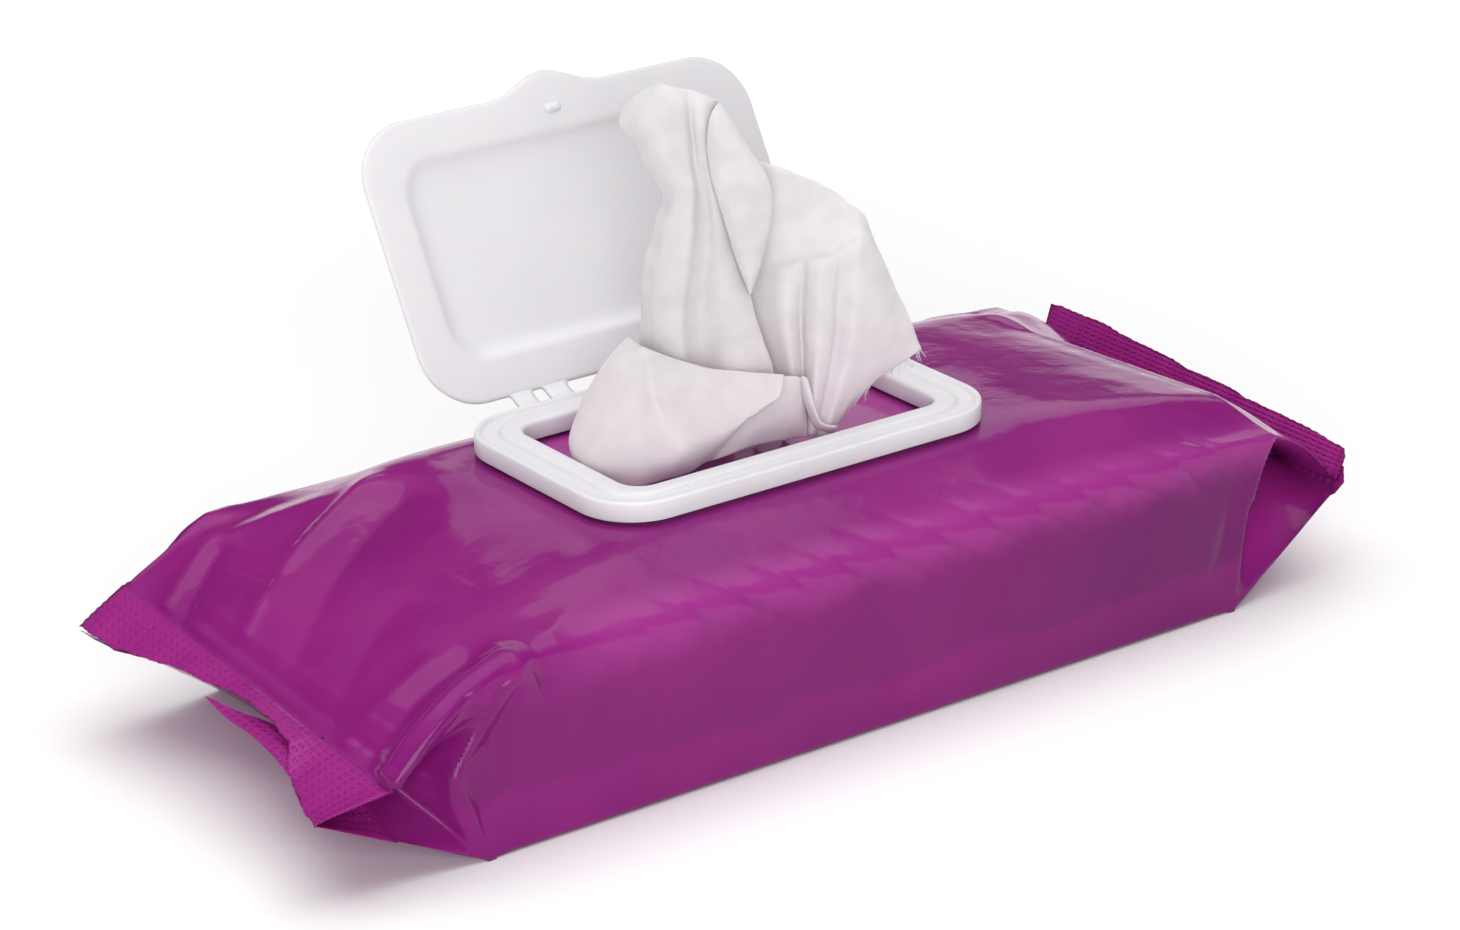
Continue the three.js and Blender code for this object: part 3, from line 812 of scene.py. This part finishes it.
def hinge_web(number):
    """A thin strip of the moulding that runs from the ring to the lid, drawn with a bend for the
    lid standing open.
    """
    low, high = mm_box(f"hinge_strap_{number}")
    ring_high = mm_box("lid_frame")[1]
    start = Vector((0, ring_high.y - 0.4, ring_high.z - 1.1))
    end = LID_SPACE @ Vector((0, HINGE_REACH + 0.5, -HINGE_DROP - LID_WALL / 2))
    end.x = 0
    bend = Vector((0, HINGE_LINE.y + 0.4, HINGE_LINE.z - 0.5))
    bm = bmesh.new()

    def place(along, across):
        middle = start.lerp(bend, along).lerp(bend.lerp(end, along), along)
        flare = 1 + 0.35 * (2 * along - 1) ** 4
        x = (low.x + high.x) / 2 + (across - 0.5) * (high.x - low.x) * flare
        return middle + Vector((x, 0, 0))

    placed_grid(bm, 16, 6, place)
    bmesh.ops.recalc_face_normals(bm, faces=bm.faces)
    bmesh.ops.solidify(bm, geom=list(bm.faces), thickness=WEB_THICKNESS)
    bmesh.ops.recalc_face_normals(bm, faces=bm.faces)
    piece = finished(f"hinge_web_{number}", bm, MOULDING, body=None)
    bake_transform(piece)
    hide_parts(f"hinge_strap_{number}")


# ---- pulled wipe ---------------------------------------------------------------
# The wipe stands twisted against the slot. Its nets are lists of curves that rise from the
# slot, in points of (across to the right, up, forwards), where forwards also climbs a slope.
WIPE_TURN, WIPE_SLOPE = math.radians(36.7), math.radians(22)
ACROSS = Vector((math.cos(WIPE_TURN), -math.sin(WIPE_TURN), 0))
UP = Vector((0, 0, 1 / math.cos(WIPE_SLOPE)))
FORWARDS = Vector((-math.sin(WIPE_TURN), -math.cos(WIPE_TURN), math.tan(WIPE_SLOPE)))

# The twisted column, whose left side opens into the soft flop at its tip.
COLUMN = [
    [(0, 50, -4), (-1, 62, -4), (-3, 70, -4.5), (-4, 79, -5), (-5, 87, -4.5), (-6, 94.5, -4),
     (-7, 99.7, -3.5), (-8, 104, -3), (-9, 108.6, -2.5), (-9.5, 112, -1), (-9.5, 114, 0)],
    [(-12, 50, -3), (-12, 62, -3), (-12, 70, -3.5), (-12, 79, -4), (-11, 87, -3), (-10, 94.5, -2.5),
     (-12, 99.7, -2), (-14, 104, -1.5), (-16, 108.6, -1), (-15.5, 112, 0), (-13, 114.6, 0.5)],
    [(-21, 50, 5), (-20, 62, 4), (-18.8, 70, 3), (-19, 79, 2), (-16.8, 87, 2), (-14.6, 94.5, 2.5),
     (-18.2, 99.7, 2.6), (-20, 104, 2.6), (-23.2, 108.6, 2.5), (-20.8, 113, 2),
     (-15.2, 116.5, 1.5)],
    [(-19, 50, 9), (-18.4, 62, 7.5), (-17.2, 70, 6.4), (-17.2, 79, 5.4), (-15.2, 87, 5),
     (-13.4, 94.5, 5), (-16.6, 99.7, 6), (-18.4, 104, 6.2), (-20.8, 108.4, 5.8), (-19, 112.6, 4.8),
     (-14.4, 116.3, 3)],
    [(-15.5, 50, 11.4), (-15, 62, 9.6), (-14.2, 70, 8.5), (-14, 79, 7.7), (-12.4, 87, 7.2),
     (-11.4, 94.5, 6.7), (-13.4, 99.7, 8), (-15, 104, 8.4), (-16.6, 108.2, 8), (-16, 112, 6.4),
     (-13, 115.8, 3.6)],
    [(-10.8, 50, 11.5), (-10.8, 61, 10.2), (-11, 70, 9.1), (-10.3, 79, 8.2), (-8.9, 87, 7.7),
     (-8.4, 94.5, 7.1), (-9.4, 99.7, 6.6), (-10, 104, 6.6), (-10.6, 108.4, 6), (-10.6, 112, 4.8),
     (-10.4, 115.4, 3)],
    [(-9, 50, 9.6), (-9, 61, 8.2), (-9.2, 70, 7), (-8.4, 79, 6), (-7, 87, 5.4), (-6.8, 94.5, 4.8),
     (-7.8, 99.7, 4.2), (-8.4, 104, 4.2), (-8.8, 108.4, 3.8), (-9, 112, 3.3), (-9, 115.2, 2.4)],
    [(-6.4, 50, 8.8), (-6.4, 60, 7.3), (-6.8, 69, 5.8), (-6.2, 78, 4.8), (-5.2, 87, 4.4),
     (-5.6, 94.5, 4.6), (-6.6, 99.7, 4.9), (-7.2, 104, 5.1), (-7.6, 108.2, 4.8), (-7.6, 111.6, 4),
     (-7.2, 114.6, 2.7)],
    [(0, 49, 11.2), (-1, 58.5, 9.6), (-2, 68, 7.8), (-2.6, 77, 6.6), (-3.2, 86, 5.8), (-4, 94, 5.6),
     (-5, 99.4, 5.6), (-5.6, 103.6, 5.4), (-5.9, 107.8, 4.9), (-5.8, 111, 3.9), (-5.2, 113.8, 2.6)],
    [(6, 48.6, 9), (5, 58.5, 8), (3, 67, 6.9), (1.4, 76, 5.6), (0, 85, 4.4), (-1.4, 93.4, 3.6),
     (-2.6, 99, 3.2), (-3.4, 103.2, 3), (-3.8, 107.4, 2.6), (-3.9, 110.4, 2.4), (-3.7, 113.2, 2)],
    [(9, 48.4, 5.5), (7.9, 58.5, 5), (5, 66.5, 4.4), (3, 75, 3.4), (1.5, 84, 2.2), (0, 93, 1.4),
     (-1.6, 98.6, 1), (-2.4, 102.8, 0.8), (-3, 107, 0.8), (-3.2, 110, 1), (-3.1, 112.8, 1.2)],
    [(4, 48, 0), (3, 58, -1), (1, 66, -1.5), (-1, 75, -2), (-2, 84, -2.4), (-3.4, 92.6, -2.4),
     (-4.4, 98.4, -2), (-5, 102.6, -1.6), (-5.4, 106.8, -1.2), (-5.4, 109.8, -0.5), (-5, 112.6, 0)],
]
# The leaf that hangs from the column's tip, on its right.
LEAF = [
    [(3.2, 74.2, 5.5), (1, 84, 6), (-1.8, 93.6, 6), (-3.6, 102, 5.6), (-3.6, 108.6, 4.4),
     (-2.9, 112.3, 2.6)],
    [(3, 74, 7), (-0.7, 84.3, 7.7), (-3.8, 94.2, 7.6), (-5.6, 102.8, 7), (-5, 109.4, 5.8),
     (-2.9, 112.7, 3.4)],
    [(3.1, 73.9, 7.8), (1, 83, 9), (-1.3, 93, 9.3), (-3, 101.8, 8.6), (-3.4, 108.4, 6.9),
     (-2.9, 112.6, 3.7)],
    [(3.2, 73.9, 8), (3.2, 82, 9), (2.4, 91.5, 9), (0.6, 100.4, 8.2), (-1.2, 107.4, 6.6),
     (-2.9, 112.6, 3.7)],
    [(3.3, 73.9, 7.8), (5, 81.8, 7.8), (6, 90.4, 7.4), (4.6, 98.4, 6.6), (0.8, 106, 5.4),
     (-2.8, 112.6, 3.4)],
    [(3.4, 74, 7), (6, 82, 5.6), (7.9, 90.2, 4.8), (7, 97.4, 4), (2.2, 104.9, 3.4),
     (-2.8, 112.5, 2.6)],
    [(3, 74.2, 4), (4.6, 82, 1.4), (6, 90, 0), (5.4, 97, -0.6), (1, 104.4, 0), (-3, 112.2, 1)],
]
# The part that hangs to the right: a smooth slope above, hanging folds below, then the hem.
DRAPE = [
    [(10, 46, 1), (6, 55, -1), (2, 65, -2.5), (-1, 73, -3.5), (-2, 79, -4), (-2, 83, -4.5),
     (-1, 92, -5), (1, 102, -5)],
    [(12, 45.4, 4), (10, 55, 2.5), (7.5, 65, 1.2), (6, 73, 0.2), (5.6, 78.8, -0.6), (5.6, 82.4, -2),
     (6, 91.6, -3), (7, 100.8, -3.6)],
    [(13.2, 45, 6), (12, 55, 4.6), (10.6, 65, 3.4), (9.9, 73, 2.5), (9.8, 79, 1.6), (10, 82, -1),
     (10.8, 91, -2.6), (11.8, 99, -3.4)],
    [(14, 44.8, 5.8), (13.2, 56, 3.6), (12.5, 67, 2.1), (12.4, 74, 1.8), (12.6, 79.8, 1.5),
     (13.2, 82.4, -1.2), (14.2, 90.3, -2.8), (15.2, 97.6, -3.4)],
    [(14.5, 44.8, 5), (14.1, 56, 2.6), (13.7, 67, 0.9), (13.9, 74, 0.8), (14.2, 80, 1.2),
     (14.9, 82.6, -1.2), (15.9, 90, -2.8), (16.9, 96.9, -3.4)],
    [(15, 44.8, 6), (14.9, 56, 4.6), (14.9, 67, 3.7), (15.2, 74.5, 3.3), (15.6, 80.4, 2.2),
     (16.3, 82.9, -1), (17.3, 89.6, -2.8), (18.4, 96, -3.5)],
    [(15.7, 44.8, 7), (16.3, 56, 6.4), (17.3, 67, 5.2), (17.7, 74.5, 4.6), (18.1, 80.7, 2.9),
     (18.7, 83.2, -0.8), (19.5, 89, -2.8), (20.3, 95.2, -3.6)],
    [(16.6, 44.8, 6.4), (18, 56, 4.8), (19.7, 67, 3.4), (20.1, 74, 2.9), (20.5, 81, 1.9),
     (21, 84, -1.2), (21.5, 88.8, -3), (22.2, 94, -3.8)],
    [(17.3, 44.8, 5.4), (19.2, 56, 2.6), (21, 67, 1.2), (21.6, 74, 1.2), (22.1, 82, 1),
     (22.5, 84.8, -1.4), (23, 88.8, -3.2), (23.8, 92.8, -4)],
    [(18.8, 44.8, 5.6), (21.6, 55, 3.6), (24.2, 66, 2.6), (25, 76, 2.1), (25.2, 84, 0.7),
     (25.2, 86.4, -1.8), (25.2, 89, -3.6), (25.3, 91.8, -4.4)],
    [(20.4, 46.2, 3.4), (24, 54.5, 1.6), (27, 65, 0.8), (28, 75.5, 0.3), (27.6, 83.4, -0.9),
     (27.1, 86, -2.6), (26.7, 88.2, -4.2), (26.6, 90.6, -5)],
    [(24.5, 52, -0.5), (27.6, 58, -0.8), (30, 66.5, -1.2), (30.5, 75, -2), (29.7, 81.3, -3.2),
     (28.9, 84, -4.2), (28, 86.4, -5.2), (27.3, 89.2, -6)],
    [(30.6, 57.6, -4.2), (32.4, 61.6, -4.2), (33.4, 67, -4.4), (33, 73, -5), (31.6, 78.8, -5.8),
     (30.6, 81.8, -6.4), (29.4, 84.4, -7), (28.3, 87.2, -7.6)],
    [(39.2, 63.1, -9), (38, 65.6, -8.6), (36.6, 68.8, -8.2), (34.9, 73, -8), (33, 77.2, -8),
     (32, 79.5, -8.2), (30.8, 81.9, -8.4), (29.5, 84.6, -8.8)],
]
# The flap that lies over in front, with its folded upper edge.
FLAP = [
    [(-25, 46, 4), (-25, 51, 4), (-23.5, 56, 4), (-22, 60.5, 4.4), (-21, 63.6, 5.4), (-20, 62, 5)],
    [(-31, 43.6, 10), (-31.4, 47.5, 9.6), (-29.4, 53, 9), (-26.6, 58.6, 8.4), (-22.4, 64.8, 8),
     (-20.8, 64, 6.8)],
    [(-33.5, 40.4, 18), (-34.3, 44.8, 18), (-32.2, 51, 16), (-28.8, 57.6, 13.5), (-22.6, 65, 10.5),
     (-21, 64.4, 8)],
    [(-31.4, 37.6, 25), (-32.2, 42, 24.4), (-29.6, 49.5, 21.4), (-26, 57, 17), (-21.4, 64.4, 12.2),
     (-19.8, 63.6, 10)],
    [(-26.6, 36, 29), (-27.4, 40, 28.8), (-25, 48, 25.6), (-22.6, 56.4, 19.8), (-20.1, 63.6, 13.6),
     (-18.6, 62.8, 11.3)],
    [(-20.4, 35, 31), (-20.4, 39.4, 31.4), (-19.4, 47, 28.6), (-19.2, 54.8, 22.6),
     (-19, 63.1, 15.2), (-17.4, 62.4, 12)],
    [(-16.8, 35.6, 30), (-14.8, 40.6, 32), (-15.2, 47.2, 30.4), (-16.9, 54.2, 24.6),
     (-17.6, 62.5, 16.2), (-16.2, 61.8, 12.3)],
    [(-14.4, 36.2, 28.8), (-10.8, 41.8, 31.2), (-12.6, 47, 29.4), (-14.8, 53.8, 23.9),
     (-16, 61.9, 16), (-14.6, 61.2, 12.4)],
    [(-11.6, 37, 27), (-7.6, 42.8, 28), (-8.8, 47, 26), (-10.4, 53.2, 20.6), (-11.2, 60.3, 14.6),
     (-10, 59.6, 12)],
    [(-9, 38, 25), (-5, 43.6, 24.4), (-4.8, 47.4, 22.2), (-5.2, 52.8, 18), (-5.2, 58.7, 13.6),
     (-4.2, 58, 11.4)],
    [(-7, 39.2, 22.8), (-2.4, 44.6, 21.6), (0, 48.4, 19.2), (0.8, 52.8, 16.2), (1, 57.9, 12.6),
     (2, 57.5, 10.6)],
    [(-5.2, 40.2, 20.8), (-0.4, 45.8, 19.6), (3.8, 49.6, 17.2), (6.4, 52.6, 15), (7.4, 57.6, 11.6),
     (8, 57.2, 9.8)],
    [(-4.2, 41, 20.2), (1.1, 47.2, 18.4), (5.6, 50.8, 16.4), (9, 53.4, 14), (9.8, 57.4, 11),
     (9.8, 57.2, 9.2)],
]
# The layer below the flap.
UNDERLAY = [
    [(-12, 37.5, 25), (-10, 44, 22), (-8, 50, 18), (-6, 56.5, 12)],
    [(-4, 40.6, 20), (-2, 46, 17.6), (0, 51, 15), (2, 56.6, 10.6)],
    [(3, 42.8, 14.6), (4.5, 47, 14.8), (6, 52, 13), (7.5, 57.2, 9.6)],
    [(8.5, 43.8, 10.4), (9.2, 47.5, 11), (10, 52.5, 10.4), (10.8, 57.3, 8.6)],
    [(12.6, 44.6, 7), (12.6, 47.5, 8), (12.8, 52, 8.2), (13.2, 57, 7.2)],
    [(15, 44.8, 6), (14.8, 47, 5.8), (14.5, 51, 6), (14.2, 56.2, 5)],
]
# The turned-up edge at the foot of the drape.
CURL = [
    [(13, 57, 6), (13.6, 53, 7), (15, 49, 7.4), (17, 46.4, 7.6), (20.4, 45.6, 6.4)],
    [(13.6, 57.2, 7.4), (14.4, 53.2, 8.6), (15.8, 49.6, 9), (17.6, 47.2, 8.8), (20.8, 46.6, 7)],
    [(14.6, 56.8, 7.6), (15.4, 53, 8.6), (16.6, 49.6, 9), (18, 47.8, 8.4), (21, 47.2, 6.4)],
    [(15, 56, 6), (16, 52.6, 6.6), (17, 49.2, 6.8), (18.4, 47.6, 6.4), (21, 47, 5.2)],
]
CLOTH_THICKNESS = 0.3
HEM_THREADS, THREAD_WIDTH = 70, 0.12


def wipe_point(net, u, v):
    """A point of a net, lightly crumpled: u runs across its curves and v up them."""
    at_v = [curve_point([Vector(p) for p in curve], v) for curve in net]
    across, up, forwards = curve_point(at_v, u)
    point = across * ACROSS + up * UP + forwards * FORWARDS
    return point + noise.noise_vector(point / 11) * 0.45 + noise.noise_vector(point / 4) * 0.13


def hem_threads(bm, rng):
    """Loose fibres that hang out of the cut edge of the drape."""
    for _ in range(HEM_THREADS):
        u = mix(0.62, 1, rng.random() ** 0.6)
        start = wipe_point(DRAPE, u, 0.004)
        inwards = wipe_point(DRAPE, u, 0.03) - start
        sway = Vector((rng.uniform(-1, 1), rng.uniform(-1, 1), -0.4))
        fall = -inwards.normalized() + 0.5 * sway
        length, bend = rng.uniform(0.6, 2.4), rng.uniform(-0.5, 0.5)

        def place(along, across):
            middle = start + fall * length * along + ACROSS * (bend * along ** 2)
            return middle + THREAD_WIDTH * (across - 0.5) * (1 - 0.6 * along) * ACROSS

        placed_grid(bm, 4, 1, place)


def pulled_wipe():
    """The wipe that stands out of the slot."""
    noise.seed_set(1)    # for the crumpling in wipe_point
    bm = bmesh.new()
    for net, across, up in ((COLUMN, 110, 100), (LEAF, 48, 60), (DRAPE, 130, 80),
                            (FLAP, 100, 56), (UNDERLAY, 50, 30), (CURL, 14, 30)):
        placed_grid(bm, across, up, lambda u, v: wipe_point(net, u, v))
    hem_threads(bm, random.Random(7))
    bmesh.ops.recalc_face_normals(bm, faces=bm.faces)
    piece = finished("pulled_sheet", bm, WIPE)
    wall = piece.modifiers.new("thickness", "SOLIDIFY")
    wall.thickness = CLOTH_THICKNESS * MM
    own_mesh(piece)
    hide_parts("pulled_wipe")


# ---- folded stack --------------------------------------------------------------
STACK_LAYERS = 26
STACK_CLEARANCE = 2.2          # between the stack's box and its slabs
STACK_TOP = (-50, 72)          # the uppermost slab's ends


def wipe_stack():
    """The folded wipes, a pile of soft slabs that follows the wrap's rounded top."""
    low, high = mm_box("wipe_stack")
    rng = random.Random(4)
    bm = bmesh.new()
    thickness = (high.z - low.z) / STACK_LAYERS * 0.92
    for layer in range(STACK_LAYERS):
        z = mix(low.z + 0.4, high.z - STACK_CLEARANCE, layer / STACK_LAYERS)
        over = clamp((z - (LONG_EDGE - 5)) / (CROWN - LONG_EDGE + 3))
        half_y = mix(high.y - STACK_CLEARANCE, LEVEL_HALF_WIDTH - 2, over ** 0.8)
        half_y -= 0.5 * rng.random()
        left = mix(low.x + 1, STACK_TOP[0], over) + 0.8 * rng.random()
        right = mix(high.x - 14, STACK_TOP[1], over) - 0.8 * rng.random()
        slab = bmesh.ops.create_cube(bm, size=1)["verts"]
        for vert in slab:
            vert.co = (mix(left, right, vert.co.x + 0.5), 2 * half_y * vert.co.y,
                       z + thickness * (vert.co.z + 0.5))
        edges = list({edge for vert in slab for edge in vert.link_edges})
        bmesh.ops.bevel(bm, geom=edges, offset=thickness * 0.45, offset_type="OFFSET",
                        segments=3, profile=0.5, affect="EDGES", material=-1)
    piece = finished("folded_wipes", bm, stack_finish())
    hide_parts("wipe_stack")


# ---- scene, in metres ----------------------------------------------------------
CAMERA_PLACE = (-0.52265, -0.69903, 0.39554)
CAMERA_AZIMUTH, CAMERA_ELEVATION, CAMERA_ROLL = (
    math.radians(degrees) for degrees in (-36.704, 22.036, -0.391))
FOCAL_LENGTH, SENSOR_WIDTH = 111.0, 36    # in millimetres
FLOOR_HALF_WIDTH = 14.0


def camera():
    a, e = CAMERA_AZIMUTH, CAMERA_ELEVATION
    back = Vector((math.sin(a) * math.cos(e), -math.cos(a) * math.cos(e), math.sin(e)))
    right = Vector((math.cos(a), math.sin(a), 0))
    view = Matrix((right, back.cross(right), back)).transposed().to_4x4()
    data = bpy.data.cameras.new("camera")
    data.sensor_width = SENSOR_WIDTH
    data.lens = FOCAL_LENGTH
    data.clip_start, data.clip_end = 0.05, 30
    lens = bpy.data.objects.new("camera", data)
    roll = Matrix.Rotation(CAMERA_ROLL, 4, "Z")
    lens.matrix_world = Matrix.Translation(CAMERA_PLACE) @ view @ roll
    bpy.context.collection.objects.link(lens)
    bpy.context.scene.camera = lens


def softbox(name, place, aim, size, power):
    data = bpy.data.lights.new(name, "AREA")
    data.shape = "RECTANGLE"
    data.size, data.size_y = size
    data.energy = power
    lamp = bpy.data.objects.new(name, data)
    lamp.location = place
    lamp.rotation_euler = (Vector(aim) - Vector(place)).to_track_quat("-Z", "Y").to_euler()
    bpy.context.collection.objects.link(lamp)


def studio_floor():
    """A wide pale floor that shows shadows near the pack and glows white further out."""
    pale = Finish("pale floor", Roughness=0.9, Emission_Strength=1.0)
    distance = pale.node("ShaderNodeVectorMath", {0: pale.place}, output="Value",
                         operation="LENGTH")
    pale.set(Base_Color=pale.blend(pale.noise(400), rgb("fafafa"), rgb("fdfdfd")),
             Emission_Color=pale.blend(distance.ramp(0.12, 1.4), rgb("000000"), rgb("f0f0f0")))
    bm = bmesh.new()
    bmesh.ops.create_grid(bm, x_segments=1, y_segments=1, size=FLOOR_HALF_WIDTH / MM)
    finished("floor", bm, pale.material, body=None)


def studio_world():
    """A sky that is bright high up and at the horizon."""
    world = bpy.data.worlds.new("studio")
    world.use_nodes = True
    nodes, links = world.node_tree.nodes, world.node_tree.links
    backdrop = nodes["Background"]
    backdrop.inputs["Color"].default_value = (1, 0.985, 0.99, 1)
    split = nodes.new("ShaderNodeSeparateXYZ")
    links.new(nodes.new("ShaderNodeTexCoord").outputs["Generated"], split.inputs[0])
    both = nodes.new("ShaderNodeMath")
    # strength from one height to another: the sky's own, and what the horizon adds
    for i, band in enumerate(((0.5, 0.9, 0.08, 0.75), (0.12, 0.22, 1.0, 0))):
        ramp = nodes.new("ShaderNodeMapRange")
        ramp.interpolation_type = "SMOOTHSTEP"
        for socket, value in zip(("From Min", "From Max", "To Min", "To Max"), band):
            ramp.inputs[socket].default_value = value
        links.new(split.outputs["Z"], ramp.inputs["Value"])
        links.new(ramp.outputs[0], both.inputs[i])
    links.new(both.outputs[0], backdrop.inputs["Strength"])
    bpy.context.scene.world = world
    bpy.context.scene.view_settings.view_transform = "Standard"


def studio():
    studio_floor()
    studio_world()
    softbox("overhead", (0, 0, 1.5), (0, 0, 0), (2.0, 1.6), 15.5)
    softbox("front left", (-0.75, -1.0, 0.5), (0, 0, 0.05), (0.7, 0.6), 8.2)
    softbox("back right", (1.2, 1.2, 0.9), (0, 0, 0.05), (1.0, 0.6), 2)


camera()
studio()
film_wrap()
lid_frame()
lid_panel()
for number in range(1, 5):
    hinge_web(number)
pulled_wipe()
wipe_stack()
for slot in frame["nodes"]["adhesive_ring"].material_slots:
    slot.material = adhesive_finish()
